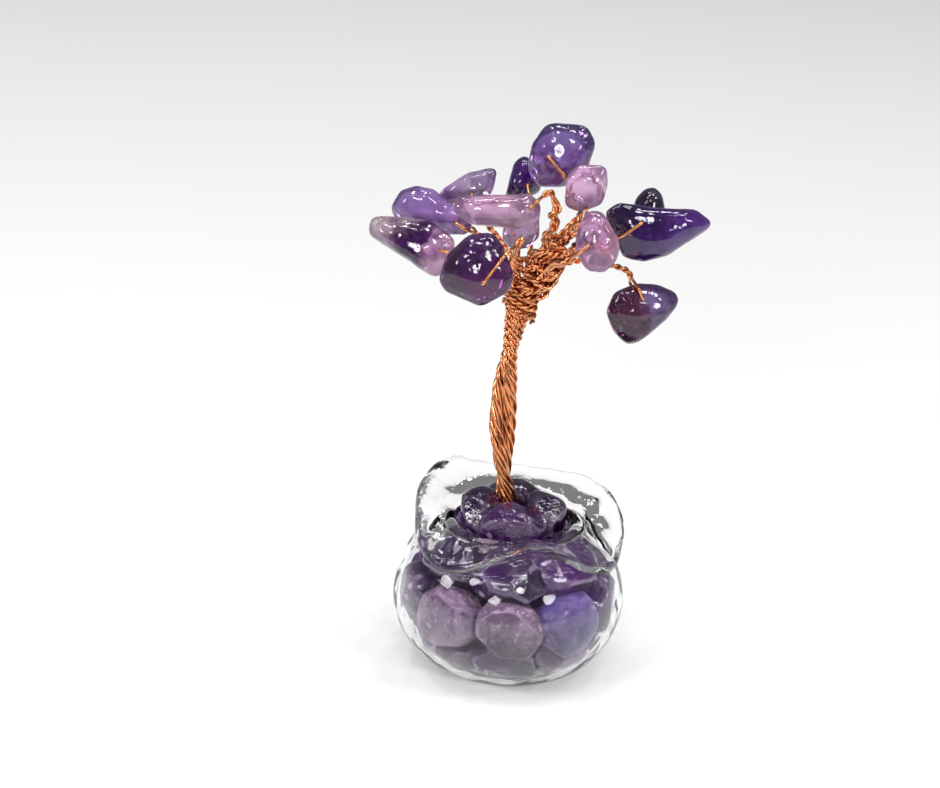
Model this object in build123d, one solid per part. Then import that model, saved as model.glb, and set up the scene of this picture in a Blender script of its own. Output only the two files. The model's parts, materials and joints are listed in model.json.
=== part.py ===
from build123d import *

import math
import os
from dataclasses import dataclass

# Glass pot: a squat blown bowl with a neck and a ruffled lip
POT_R = 13.0            # outer radius at the widest height
FOOT_R = 6.7            # flat foot on which the ornament stands
BOWL_MID_Z = 8.5        # height of the widest circle
NECK_Z = 17.2           # top of the neck, where the lip flares out
THROAT_R = 5.9          # clear radius inside the neck
GLASS_WALL = 1.1
GLASS_FLOOR = 1.5
LIP_WAVES = (           # crests and troughs: degrees round, reach from the throat, rise above the neck, thickness
    (-77.0, 5.7, 1.0, 1.4),
    (-24.0, 6.4, -2.5, 1.5),
    (32.0, 6.5, 1.2, 2.8),
    (88.0, 5.7, 1.4, 1.8),
    (150.0, 4.7, 3.0, 4.0),
    (228.0, 5.7, -2.2, 1.3),
)
LIP_ROOT_DEPTH = 0.5    # how far the lip is sunk into the neck's wall
LIP_ROOT_INSET = 0.25   # share of that wall left on either side of it
LIP_INNER_FLARE = 35.0  # degrees from upright at which the lip leaves the neck, inside
LIP_OUTER_FLARE = 55.0  # and outside
STEPS_PER_WAVE = 3      # sections of the lip from a crest to a trough

# Stone chips in the pot
CHIP_W = 6.2            # round the pot
CHIP_H = 4.6            # along the glass
CHIP_T = 3.6            # away from the glass
CHIP_CORNER = 1.3
CHIP_GAP = 0.28         # between neighbours, and from the glass
WALL_RINGS = {"chips_low_ring": -49.0, "chips_mid_ring": 0.0, "chips_high_ring": 49.0}
CORE_LEVELS = 4
CORE_CHIPS = 4          # round the trunk at each level
CORE_TOP_Z = 20.0       # the chips heap up in the throat
CORE_FILL = 0.8         # share of its place round the trunk that such a chip takes up
CHIP_SHAPES = (
    (1.00, 0.88, 1.04, 0.92, 1.00, 0.84, 0.98),
    (0.94, 1.04, 0.90, 1.00, 0.86, 1.02, 0.92),
    (1.02, 0.92, 0.98, 0.86, 1.04, 0.94, 0.90),
)

# Glue that holds the trunk's feet on the pot's floor
GLUE_R = 4.6
GLUE_T = 0.8
GLUE_SHOULDER = 0.75    # share of that height halfway out
GLUE_FIT = 0.06         # between the glue and the trunk's outermost wires

# Copper wire
WIRE_D = 0.36           # the single wire that passes through a stone
STRAND_D = 0.40         # its two legs twisted together, as one round strand
STRAND_GAP = 0.10       # between strands of the trunk
HOLE_D = 1.0            # drilled through each stone
LEG_GAP = 0.30          # between a wire's leg and the stone's face
LEGS_APART = 0.05       # between the two legs where they meet
LEG_BEND_R = 0.55
LEG_BREAK = 0.90        # where a leg turns in to the strand, as a share of its reach
LEAD = 1.0              # straight end of each strand, before its two legs part

# Trunk: two ropes of strands wound round each other
FOOT_CLEAR = 0.3        # between the wires' feet and the pot's floor
CROWN_Z = 44.4          # where the branches part
TRUNK_X = -0.4
TRUNK_BOW = 1.5         # the trunk leans this far to the left
BOW_MID_Z = 31.0        # at this height
BOW_HALF = 19.0         # and stands straight beyond this distance
ROPE_PITCH = 29.0       # both windings fall to the right in front
LAY_PITCH = 12.0
STEPS_PER_LAY = 4
RING_SLOTS = 6
ROPE_RIGHT, ROPE_LEFT = 0.0, 180.0      # where each rope lies at the crown, degrees
CORE = -1                               # the slot at a rope's middle
BOUGH = Vector(3.9, 0.0, 6.6)           # the right rope goes on as a bough, from the crown
BOUGH_SPREAD = 0.80                     # its strands part by this share along it

# Wire bound round the trunk just under the crown
BINDING_TURNS = 3
BINDING_PITCH = 0.86
BINDING_TOP = 0.2       # below the crown
BINDING_FIT = 0.10      # outside the trunk's outermost wires
LEAST_COIL_GAP = 0.4

# A tumbled stone's girth at steps across its thickness
PEBBLE_PROFILE = ((-1.0, 0.46), (-0.74, 0.80), (0.0, 1.0), (0.74, 0.80), (1.0, 0.46))
RUN_SHARE = 0.45        # most of a straight run that a rounded corner may use
NUDGE = 0.01            # step along a curve from which its direction is taken
STRAIGHT = 1e-4         # sine of a turn so slight that an arc is drawn as a line
PARALLEL = 1e-6         # and measure below which two directions are taken as one
SWING_STEPS = 8         # places each way at which a swinging stone's reach is measured


@dataclass(frozen=True)
class Stone:
    """A drilled stone; its outline and hole lie in its own upright plane, seen from its front."""
    name: str
    centre: tuple       # from the pot's axis at the crown's height
    turn: float         # facing, degrees to the right
    tilt: float         # and degrees upwards
    outline: tuple
    thickness: float
    corner: float
    hole: tuple
    way: float          # from the hole to the branch, degrees in that plane
    swing: float        # the stone turns this far each way on its wire
    rope: float
    slot: int
    bough: tuple        # shares of the bough that the strand follows
    route: tuple        # then its own bends, from the pot's axis at the crown's height
    lean: tuple = (0.0, 0.0)    # how far the front face is set over


STONES = (
    Stone("top", (2.5, 1.9, 14.6), -6, 14,
          ((-3.4, 0.9), (-1.9, 3.4), (2.5, 3.5), (3.6, 1.6), (2.9, -1.3), (0.7, -3.3), (-2.2, -3.6),
           (-3.6, -1.7)), 4.6, 1.5, (-1.2, -0.1), -45, 18, ROPE_RIGHT, 3, (0.5, 1.0),
          ((5.2, 0.2, 8.8),), (0.3, 0.4)),
    Stone("rear", (-1.4, 8.8, 9.9), 15, 24,
          ((0.3, 2.7), (-1.0, 1.6), (-2.2, -2.3), (-0.7, -2.6), (2.0, -1.6), (2.6, 1.0)),
          3.8, 0.9, (0.0, -1.0), -80, 20, ROPE_RIGHT, 2, (),
          ((0.0, 1.7, 2.6), (-0.3, 4.6, 5.0)), (-0.2, 0.2)),
    Stone("left_point", (-7.3, 8.3, 9.05), -12, 26,
          ((3.2, 2.4), (0.0, 1.3), (-3.2, -1.3), (-2.7, -2.6), (1.6, -2.5), (2.9, -0.6)),
          3.2, 0.7, (0.9, -1.4), -60, 14, ROPE_LEFT, 1, (),
          ((-1.4, 1.7, 2.0), (-3.2, 4.4, 3.8)), (0.2, -0.2)),
    Stone("left_dome", (-12.2, 4.4, 7.4), -14, 14,
          ((-3.5, -0.8), (-2.6, 1.3), (-0.8, 2.1), (1.2, 1.9), (3.6, 0.4), (6.0, -0.8), (5.9, -2.5), (2.6, -3.0),
           (-2.6, -2.2)), 3.8, 1.1, (4.5, -1.3), -25, 14, ROPE_LEFT, 2, (),
          ((-2.5, 1.8, 2.2), (-5.0, 3.2, 4.2))),
    Stone("left_tip", (-12.9, -2.0, 4.6), -8, 20,
          ((-4.9, 3.0), (-4.8, 0.9), (3.1, -3.2), (4.6, -1.0), (4.8, 1.3), (2.0, 3.0), (-0.9, 3.2)),
          3.8, 0.9, (3.4, 0.0), -12, 16, ROPE_LEFT, 3, (),
          ((-3.4, -0.4, 2.0), (-5.2, -1.3, 3.3)), (0.3, 0.0)),
    Stone("left_bar", (-4.2, -4.5, 9.9), 4, 20,
          ((-4.9, 0.2), (-4.0, 1.5), (3.7, 2.1), (4.9, 1.0), (4.8, -0.8), (2.5, -1.8), (-2.7, -1.5)),
          3.4, 0.9, (3.5, 0.5), 42, 12, ROPE_LEFT, 0, (),
          ((-0.2, -1.0, 2.4), (1.0, -2.2, 5.0), (2.1, -3.3, 8.6), (2.1, -3.5, 10.9))),
    Stone("left_pale", (-1.3, 0.2, 6.6), 0, 16,
          ((-2.0, 1.7), (1.9, 2.2), (2.1, -0.7), (0.7, -2.0), (-0.9, -2.2), (-2.0, -1.2)),
          3.2, 0.7, (-0.1, -0.9), -90, 20, ROPE_LEFT, 5, (), (), (0.1, 0.1)),
    Stone("left_front", (-5.8, -9.0, 5.0), -10, 22,
          ((-4.0, -1.6), (-3.2, 1.2), (-1.2, 3.5), (1.2, 4.0), (2.6, 2.6), (4.1, -0.2), (3.8, -2.1),
           (1.0, -4.0), (-3.0, -2.8)), 4.6, 1.3, (1.3, -1.7), 60, 18, ROPE_LEFT, 4, (),
          ((-1.9, -2.4, 2.6), (-1.9, -5.4, 6.0)), (0.2, 0.3)),
    Stone("right_cube", (5.2, -4.0, 12.9), 8, -14,
          ((-2.3, 1.5), (-1.0, 2.8), (1.8, 2.8), (2.3, 1.0), (1.9, -1.7), (-0.5, -2.8), (-2.2, -2.2)),
          3.6, 0.8, (-0.1, -1.4), -95, 20, ROPE_RIGHT, 4, (0.5, 1.0),
          ((4.4, -1.5, 8.0),)),
    Stone("right_drop", (6.7, -8.3, 8.5), 8, 20,
          ((-1.4, 3.2), (0.2, 3.3), (2.3, 0.0), (2.1, -1.8), (0.7, -3.2), (-1.1, -3.1), (-2.4, -1.2),
           (-2.4, 0.9)), 4.0, 0.9, (-1.35, -0.45), -140, 18, ROPE_RIGHT, 5, (),
          ((1.0, -1.5, 1.9), (1.9, -3.0, 3.5), (2.4, -6.2, 5.2)), (0.1, 0.3)),
    Stone("right_leaf", (13.1, 0.5, 7.4), 10, 16,
          ((-5.8, 1.9), (-4.3, 3.0), (0.5, 2.4), (4.4, 2.4), (6.3, 1.0), (5.9, 0.1), (1.3, -2.8),
           (-1.4, -3.4), (-3.6, -2.9), (-4.4, -0.8)), 4.2, 0.8, (-2.0, 0.9), 215, 14,
          ROPE_RIGHT, CORE, (0.5, 1.0), ((5.3, 0.1, 6.5),), (-0.2, 0.3)),
    Stone("right_rear", (12.5, 6.0, 9.0), 22, 20,
          ((-1.6, 0.2), (-0.3, 1.4), (0.9, 1.6), (1.6, 0.6), (1.9, -2.4), (-0.8, -3.0), (-2.0, -1.6)),
          3.2, 0.6, (-0.75, -1.25), 205, 20, ROPE_RIGHT, 1, (0.5, 1.0),
          ((5.8, 2.2, 6.9),)),
    Stone("hanging", (12.3, -1.0, -1.7), 12, 6,
          ((-4.0, 0.4), (-3.2, 2.5), (-0.7, 3.5), (1.6, 3.4), (3.7, 2.6), (4.3, 1.3), (0.8, -2.0),
           (-1.2, -3.7), (-3.2, -1.8)), 4.6, 1.2, (-0.5, 2.15), 115, 30, ROPE_RIGHT, 0, (),
          ((2.5, -0.3, 2.6), (4.6, -0.8, 4.0), (7.8, -1.6, 4.1)), (0.3, 0.0)),
)


# Round corners and tubes

def rounded_run(points, corner, closed=False):
    """Straight runs between the points, each corner rounded as far as its two runs allow."""
    spots = [Vector(*point) for point in points]
    count = len(spots)
    arcs = []
    for index in range(count) if closed else range(1, count - 1):
        here = spots[index]
        back = spots[index - 1] - here
        ahead = spots[(index + 1) % count] - here
        half_turn = math.radians(180 - back.get_angle(ahead)) / 2
        cut = min(corner * math.tan(half_turn), RUN_SHARE * min(back.length, ahead.length))
        radius = cut / math.tan(half_turn)
        inward = (back.normalized() + ahead.normalized()).normalized()
        middle = here + inward * (radius / math.cos(half_turn) - radius)
        arcs.append((here + back.normalized() * cut, middle, here + ahead.normalized() * cut))
    edges = []
    last = arcs[-1][2] if closed else spots[0]
    for start, middle, end in arcs:
        edges += [Edge.make_line(last, start), Edge.make_three_point_arc(start, middle, end)]
        last = end
    if not closed:
        edges.append(Edge.make_line(last, spots[-1]))
    return Wire(edges)


def arc_or_line(start, heading, end):
    """An arc that leaves the start along the heading, or a line where that points at the end."""
    if heading.cross((end - start).normalized()).length < STRAIGHT:
        return Edge.make_line(start, end)
    return Edge.make_tangent_arc(start, heading, end)


def biarcs(points, headings):
    """Two tangent arcs from each point to the next, with the given heading at every point."""
    edges = []
    for start, out, end, arrive in zip(points, headings, points[1:], headings[1:]):
        span = end - start
        along = span.dot(out + arrive)
        bend = 2 * (1 - out.dot(arrive))
        if bend < PARALLEL:
            reach = span.dot(span) / (2 * along)
        else:
            reach = (math.sqrt(along * along + bend * span.dot(span)) - along) / bend
        before, after = start + out * reach, end - arrive * reach
        joint = (before + after) * 0.5
        edges += [arc_or_line(start, out, joint), arc_or_line(joint, (after - before).normalized(), end)]
    return Wire(edges)


def tube(path, diameter):
    return sweep(Plane(origin=path @ 0, z_dir=path % 0) * Circle(diameter / 2), path=path)


def headings_along(curve, places):
    """Headings of a curve, given as a function of height, at the given heights."""
    return [(curve(place + NUDGE) - curve(place - NUDGE)).normalized() for place in places]


# Glass pot

def bowl_arc(width, height):
    """Radius of an arc that starts upright and moves in by the width over the height."""
    return (width * width + height * height) / (2 * width)


NECK_R = THROAT_R + GLASS_WALL
LOW_ARC_R = bowl_arc(POT_R - FOOT_R, BOWL_MID_Z)
HIGH_ARC_R = bowl_arc(POT_R - NECK_R, NECK_Z - BOWL_MID_Z)


def inside_at(arc_r, rise):
    """Clear radius of the bowl at a height above or below its widest circle."""
    return POT_R - arc_r + math.sqrt((arc_r - GLASS_WALL) ** 2 - rise * rise)


def height_inside(arc_r, radius):
    """Height above the widest circle at which the bowl's inner face has that radius."""
    return math.sqrt((arc_r - GLASS_WALL) ** 2 - (radius - POT_R + arc_r) ** 2)


def bowl():
    foot = (FOOT_R, 0)
    widest = (POT_R, BOWL_MID_Z)
    neck_out, neck_in = (NECK_R, NECK_Z), (THROAT_R, NECK_Z)
    throat = (THROAT_R, BOWL_MID_Z + height_inside(HIGH_ARC_R, THROAT_R))
    widest_in = (POT_R - GLASS_WALL, BOWL_MID_Z)
    floor_edge = (inside_at(LOW_ARC_R, BOWL_MID_Z - GLASS_FLOOR), GLASS_FLOOR)
    outline = [
        Edge.make_line((0, 0), foot),
        Edge.make_tangent_arc(widest, (0, -1), foot),
        Edge.make_tangent_arc(widest, (0, 1), neck_out),
        Edge.make_line(neck_out, neck_in),
        Edge.make_line(neck_in, throat),
        Edge.make_tangent_arc(widest_in, (0, 1), throat),
        Edge.make_tangent_arc(widest_in, (0, -1), floor_edge),
        Edge.make_line(floor_edge, (0, GLASS_FLOOR)),
        Edge.make_line((0, GLASS_FLOOR), (0, 0)),
    ]
    return revolve(Plane.XZ * make_face(outline), Axis.Z)


def lip_section(turn, reach, rise, thickness):
    """The lip cut through at one turn round the pot, from the neck's wall to its round edge."""
    root_z = NECK_Z - LIP_ROOT_DEPTH
    inset = GLASS_WALL * LIP_ROOT_INSET
    root_a, root_b = (THROAT_R + inset, root_z), (NECK_R - inset, root_z)
    half = thickness / 2
    lip_r = THROAT_R + reach
    edge_r, edge_z = lip_r - half, NECK_Z + rise
    inner = math.radians(LIP_INNER_FLARE)
    outer = math.radians(LIP_OUTER_FLARE)
    over, under, tip = (edge_r, edge_z + half), (edge_r, edge_z - half), (lip_r, edge_z)
    outline = [
        Edge.make_line(root_a, root_b),
        Edge.make_tangent_arc(root_b, (math.sin(outer), math.cos(outer)), under),
        Edge.make_tangent_arc(under, (1, 0), tip),
        Edge.make_tangent_arc(tip, (0, 1), over),
        Edge.make_tangent_arc(root_a, (math.sin(inner), math.cos(inner)), over),
    ]
    return Rot(0, 0, turn) * (Plane.XZ * make_face(outline))


def lip_between(first, second, step):
    """Turn, reach, rise and thickness of the lip at a step from one of its waves to the next."""
    share = step / STEPS_PER_WAVE
    eased = (1 - math.cos(math.pi * share)) / 2
    shape = [before + (after - before) * eased for before, after in zip(first[1:], second[1:])]
    return first[0] + (second[0] - first[0]) * share, *shape


def glass_pot():
    """The bowl, and its lip lofted lobe by lobe from crest to crest."""
    turn, *shape = LIP_WAVES[0]
    waves = LIP_WAVES + ((turn + 360, *shape),)
    lobes = []
    for crest, trough, beyond in zip(waves[0::2], waves[1::2], waves[2::2]):
        cuts = [lip_between(crest, trough, step) for step in range(STEPS_PER_WAVE)]
        cuts += [lip_between(trough, beyond, step) for step in range(STEPS_PER_WAVE + 1)]
        lobes.append(loft([lip_section(*cut) for cut in cuts]))
    return bowl() + lobes


# Tumbled stones and chips

def pebble(outline, thickness, corner, lean=(0.0, 0.0)):
    """A rounded outline that swells from two small flat faces to its full girth between them."""
    slices = []
    for level, girth in PEBBLE_PROFILE:
        points = [(u * girth, v * girth) for u, v in outline]
        face = make_face(rounded_run(points, corner * girth, closed=True))
        slices.append(Pos(lean[0] * level, lean[1] * level, level * thickness / 2) * face)
    return loft(slices)


def chip_outline(width, height, shape):
    points = []
    for index, share in enumerate(shape):
        angle = 2 * math.pi * index / len(shape)
        points.append((width / 2 * share * math.cos(angle), height / 2 * share * math.sin(angle)))
    return points


def chip_ring(count, radius, height, rise, size, first=-90.0):
    """Chips round the pot's axis, each facing outwards and upwards by the rise, in degrees."""
    width, tall, thick = size
    chips = []
    for index in range(count):
        around = math.radians(first + 360 * index / count)
        out = Vector(math.cos(around), math.sin(around), 0)
        up = math.radians(rise)
        place = Plane(origin=out * radius + Vector(0, 0, height),
                      x_dir=Vector(-out.Y, out.X, 0),
                      z_dir=out * math.cos(up) + Vector(0, 0, math.sin(up)))
        outline = chip_outline(width, tall, CHIP_SHAPES[index % len(CHIP_SHAPES)])
        chips.append(place * pebble(outline, thick, CHIP_CORNER))
    return Compound(children=chips)


def wall_ring(angle):
    """Chips that lie against the glass at an angle up or down from its widest circle."""
    arc_r = HIGH_ARC_R if angle > 0 else LOW_ARC_R
    depth = arc_r - GLASS_WALL - CHIP_GAP - CHIP_T / 2
    radius = POT_R - arc_r + depth * math.cos(math.radians(angle))
    height = BOWL_MID_Z + depth * math.sin(math.radians(angle))
    count = int(math.pi / math.atan((CHIP_W + CHIP_GAP) / 2 / radius))
    return chip_ring(count, radius, height, angle, (CHIP_W, CHIP_H, CHIP_T))


# Trunk

RING_R = (STRAND_D + STRAND_GAP) / (2 * math.sin(math.pi / RING_SLOTS))
ROPE_OFFSET = RING_R + (STRAND_D + STRAND_GAP) / 2
TRUNK_R = ROPE_OFFSET + RING_R + STRAND_D / 2
FOOT_Z = GLASS_FLOOR + FOOT_CLEAR
CROWN = Vector(0, 0, CROWN_Z)


def trunk_centre(z):
    along = min(max((z - BOW_MID_Z) / BOW_HALF, -1.0), 1.0)
    return Vector(TRUNK_X - TRUNK_BOW * math.cos(along * math.pi / 2) ** 2, 0, z)


def rope_centre(rope, z):
    angle = math.radians(rope) - 2 * math.pi * (z - CROWN_Z) / ROPE_PITCH
    return trunk_centre(z) + Vector(math.cos(angle), math.sin(angle), 0) * ROPE_OFFSET


def slot_offset(slot, z):
    """From a rope's middle to one of its strands."""
    if slot == CORE:
        return Vector(0, 0, 0)
    angle = 2 * math.pi * (slot / RING_SLOTS - (z - CROWN_Z) / LAY_PITCH)
    return Vector(math.cos(angle), math.sin(angle), 0) * RING_R


# Stones on their wires

def stone_plane(stone):
    """Its front faces along the plane's Z; the crown carries it."""
    turn, tilt = math.radians(stone.turn), math.radians(stone.tilt)
    front = Vector(math.sin(turn) * math.cos(tilt), -math.cos(turn) * math.cos(tilt), math.sin(tilt))
    return Plane(origin=CROWN + Vector(*stone.centre),
                 x_dir=Vector(math.cos(turn), math.sin(turn), 0), z_dir=front)


def drilled_stone(stone):
    body = pebble(stone.outline, stone.thickness, stone.corner, stone.lean)
    drill = Pos(*stone.hole) * Cylinder(HOLE_D / 2, 2 * stone.thickness)
    return stone_plane(stone) * (body - drill)


def edge_distance(stone, angle):
    """From the hole to the stone's outline, along one direction in its plane."""
    heading = Vector(math.cos(angle), math.sin(angle))
    hole = Vector(*stone.hole)
    found = 0.0
    for first, second in zip(stone.outline, stone.outline[1:] + stone.outline[:1]):
        start, run = Vector(*first) - hole, Vector(*second) - Vector(*first)
        cross = heading.X * run.Y - heading.Y * run.X
        if abs(cross) < PARALLEL:
            continue
        distance = (start.X * run.Y - start.Y * run.X) / cross
        share = (start.X * heading.Y - start.Y * heading.X) / cross
        if distance > 0 and 0 <= share <= 1:
            found = max(found, distance)
    return found


def outline_reach(stone):
    """The furthest that the stone's outline comes towards its branch as it swings."""
    steps = range(-SWING_STEPS, SWING_STEPS + 1)
    angles = [math.radians(stone.way + stone.swing * step / SWING_STEPS) for step in steps]
    return max(edge_distance(stone, angle) for angle in angles)


def wire_paths(stone):
    """Middle lines of a strand and of the two legs into which it parts at the stone."""
    plane = stone_plane(stone)
    hole = plane.from_local_coords(Vector(*stone.hole))
    way = math.radians(stone.way)
    toward = plane.x_dir * math.cos(way) + plane.y_dir * math.sin(way)
    outer = outline_reach(stone)
    reach = outer + LEG_GAP + WIRE_D
    side = stone.thickness / 2 + LEG_GAP + WIRE_D / 2
    close = (WIRE_D + LEGS_APART) / 2
    half_loop = [(reach + LEAD / 2, close), (reach, close), (outer * LEG_BREAK, side), (0, side)]
    loop = half_loop + [(along, -across) for along, across in reversed(half_loop)]
    loop_plane = Plane(origin=hole, x_dir=toward, z_dir=toward.cross(plane.z_dir))
    return strand_path(stone, hole + toward * reach, toward), loop_plane * rounded_run(loop, LEG_BEND_R)


def stone_wire(stone):
    """A wire doubled through the stone, with both legs twisted into one strand down to the foot."""
    strand, legs = wire_paths(stone)
    return tube(strand, STRAND_D) + tube(legs, WIRE_D)


def strand_path(stone, end, toward):
    """From the foot up its rope, along the bough if it follows that, and out to the stone."""
    steps = round((CROWN_Z - FOOT_Z) / LAY_PITCH * STEPS_PER_LAY)
    heights = [FOOT_Z + (CROWN_Z - FOOT_Z) * step / steps for step in range(steps + 1)]

    def in_rope(z):
        return rope_centre(stone.rope, z) + slot_offset(stone.slot, z)

    points = [in_rope(z) for z in heights]
    headings = headings_along(in_rope, heights)
    bends = []
    for share in stone.bough:
        spread = slot_offset(stone.slot, CROWN_Z) * (1 + BOUGH_SPREAD * share)
        bends.append(rope_centre(stone.rope, CROWN_Z) + BOUGH * share + spread)
    bends += [CROWN + Vector(*bend) for bend in stone.route]
    bends.append(end + toward * LEAD)
    chain = [points[-1]] + bends
    for before, after in zip(chain, chain[2:]):
        headings.append((after - before).normalized())
    return biarcs(points + bends + [end], headings + [-toward, -toward])


# Binding and glue

def binding():
    """A few turns of wire round both ropes; prints the least gap between its turns."""
    radius = TRUNK_R + BINDING_FIT + WIRE_D / 2
    low = CROWN_Z - BINDING_TOP - BINDING_TURNS * BINDING_PITCH

    def coil(turn):
        angle = 2 * math.pi * turn
        centre = trunk_centre(low + turn * BINDING_PITCH)
        return centre + Vector(math.cos(angle), math.sin(angle), 0) * radius

    quarters = [step / 4 for step in range(4 * BINDING_TURNS + 1)]
    path = biarcs([coil(turn) for turn in quarters], headings_along(coil, quarters))
    gap = min((coil(turn + 1) - coil(turn)).length for turn in quarters[:-4]) - WIRE_D
    print(f"binding: least gap between turns {gap:.2f} mm, wanted over {LEAST_COIL_GAP} mm")
    return tube(path, WIRE_D)


def glue_puddle():
    """A low dome on the pot's floor, open where the trunk's feet stand in it."""
    hole_r = TRUNK_R + GLUE_FIT
    shoulder = ((GLUE_R + hole_r) / 2, GLUE_T * GLUE_SHOULDER)
    outline = [
        Edge.make_line((hole_r, 0), (GLUE_R, 0)),
        Edge.make_three_point_arc((GLUE_R, 0), shoulder, (hole_r, GLUE_T)),
        Edge.make_line((hole_r, GLUE_T), (hole_r, 0)),
    ]
    puddle = revolve(Plane.XZ * make_face(outline), Axis.Z)
    return Pos(TRUNK_X, 0, GLASS_FLOOR) * puddle


def core_levels():
    """Chips that fill the pot's middle, from the glue to the throat, round the trunk."""
    low = GLASS_FLOOR + GLUE_T + CHIP_GAP
    tall = (CORE_TOP_Z - low) / CORE_LEVELS
    inner, outer = TRUNK_R - TRUNK_X + CHIP_GAP, THROAT_R - 2 * CHIP_GAP
    radius = (inner + outer) / 2
    width = 2 * radius * math.tan(math.pi / CORE_CHIPS) * CORE_FILL
    size = (width, tall - CHIP_GAP, outer - inner)
    levels = {}
    for level in range(CORE_LEVELS):
        height = low + (level + 0.5) * tall
        turn = 180 / CORE_CHIPS * ((CORE_LEVELS - 1 - level) % 2)
        levels[f"chips_core_{level + 1}"] = chip_ring(CORE_CHIPS, radius, height, 0, size, turn - 90)
    return levels


def main():
    pieces = {"glass_pot": glass_pot(), "glue_puddle": glue_puddle(), "crown_binding": binding()}
    pieces |= {name: wall_ring(angle) for name, angle in WALL_RINGS.items()}
    pieces |= core_levels()
    for stone in STONES:
        pieces[f"{stone.name}_stone"] = drilled_stone(stone)
        pieces[f"{stone.name}_wire"] = stone_wire(stone)
    os.makedirs("parts", exist_ok=True)
    for name, piece in pieces.items():
        export_step(piece, f"parts/{name}.step")


main()
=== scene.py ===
import json
import math
import random

import bpy
from mathutils import Matrix, Vector


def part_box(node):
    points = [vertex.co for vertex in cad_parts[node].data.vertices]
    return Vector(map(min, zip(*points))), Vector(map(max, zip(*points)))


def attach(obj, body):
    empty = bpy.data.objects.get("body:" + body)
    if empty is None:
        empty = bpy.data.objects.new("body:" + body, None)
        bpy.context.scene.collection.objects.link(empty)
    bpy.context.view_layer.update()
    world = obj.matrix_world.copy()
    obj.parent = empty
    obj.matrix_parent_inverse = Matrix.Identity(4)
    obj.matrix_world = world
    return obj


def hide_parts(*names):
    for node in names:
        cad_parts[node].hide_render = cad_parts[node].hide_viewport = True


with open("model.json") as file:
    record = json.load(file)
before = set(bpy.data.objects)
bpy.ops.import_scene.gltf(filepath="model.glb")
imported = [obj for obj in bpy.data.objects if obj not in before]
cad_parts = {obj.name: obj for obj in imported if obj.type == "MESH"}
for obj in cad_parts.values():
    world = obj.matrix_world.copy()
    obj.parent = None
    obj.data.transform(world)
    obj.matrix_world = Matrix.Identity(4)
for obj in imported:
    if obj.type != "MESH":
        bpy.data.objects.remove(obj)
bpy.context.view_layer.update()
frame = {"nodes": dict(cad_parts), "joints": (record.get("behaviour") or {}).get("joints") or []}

MM = 0.001
ROOT = "pot_and_wires"
NODES = frame["nodes"]
JOINTS = {joint["child"]: joint for joint in frame["joints"]}

# Camera and picture
IMAGE_W, IMAGE_H = 940, 788
FOCAL_PX = 2631.0
FOOT_PX = (503.0, 658.0)        # where the middle of the pot's foot shows
FOOT_DISTANCE = 300 * MM
PITCH, ROLL = math.radians(21.0), math.radians(3.6)
SENSOR_MM = 36.0

# Glass pot: the bowl's outside as the solids have it, a thinner wall, and a lip close to theirs
POT_R, FOOT_R, BOWL_MID_Z, NECK_Z = 13.0 * MM, 6.7 * MM, 8.5 * MM, 17.2 * MM
THROAT_R, GLASS_WALL, GLASS_FLOOR = 5.9 * MM, 1.1 * MM, 1.5 * MM
BLOWN_WALL = 0.7 * MM           # of the bowl as drawn here
LIP_WAVES = (       # crests and troughs: degrees round, reach from the throat, rise above the neck, thickness
    (-77.0, 5.7, 1.1, 1.2),
    (-24.0, 6.6, -2.6, 1.5),
    (32.0, 6.6, 1.2, 2.8),
    (88.0, 5.7, 1.4, 1.3),
    (150.0, 4.8, 3.0, 4.1),
    (228.0, 5.7, -2.3, 1.2),
)
SPIN_STEPS, ARC_STEPS, LIP_STEPS = 192, 18, 10
NECK_EASE, THROAT_EASE = 4, 3   # degrees before the neck at which the lip takes over, outside and inside
UNEVEN_SIZE, UNEVEN = 7 * MM, 0.20 * MM     # of the blown surface

# Copper wire: the solids' routes, with each strand drawn as a twisted pair and the ropes a little closer
WIRE_R = 0.18 * MM              # one wire of a twisted pair
TWIST_PITCH = 1.8 * MM          # of a pair out on its branch
TRUNK_TWIST = 8.0 * MM          # and down in the trunk
TWIST_LOW_Z, TWIST_HIGH_Z = 30 * MM, 38 * MM     # between which the twist tightens
STEPS_PER_TWIST = 12
STRAND_D, STRAND_GAP = 0.40 * MM, 0.10 * MM
RING_SLOTS = 6
RING_R = (STRAND_D + STRAND_GAP) / (2 * math.sin(math.pi / RING_SLOTS))
ROPE_OFFSET = RING_R + STRAND_D / 2     # the two ropes bear on each other
TRUNK_R = ROPE_OFFSET + RING_R + STRAND_D / 2
FOOT_Z, CROWN_Z = 1.8 * MM, 44.4 * MM
TRUNK_X, TRUNK_BOW = -0.4 * MM, 1.5 * MM
BOW_MID_Z, BOW_HALF = 31.0 * MM, 19.0 * MM
ROPE_PITCH, LAY_PITCH = 29.0 * MM, 12.0 * MM
RIGHT, LEFT, CORE = 0.0, math.pi, None
BOUGH, BOUGH_SPREAD = Vector((3.9, 0.0, 6.6)) * MM, 0.80
LEG_ROOM = 0.66 * MM            # from a stone's edge to where its wire's legs meet
LEG_REST = 0.24 * MM            # from a stone's face to the middle of a leg
LEG_BREAK = 0.90                # where a leg turns in to the pair, as a share of its reach
LEG_BEND = 0.5 * MM             # where a leg turns into the hole
LEAD = 1.0 * MM
TRUNK_STEP = 0.5 * MM
BOUGH_STRANDS, BOUGH_STEPS = 8, 24
COIL_TURNS, COIL_STEPS = 3, 16  # of the binding round the trunk
CLIMB_TURNS = 1.25              # along each stretch of the branch that arches over left_bar
COIL_SLOPE = 0.6                # the binding lies square to the bough, so it falls to the right

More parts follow.
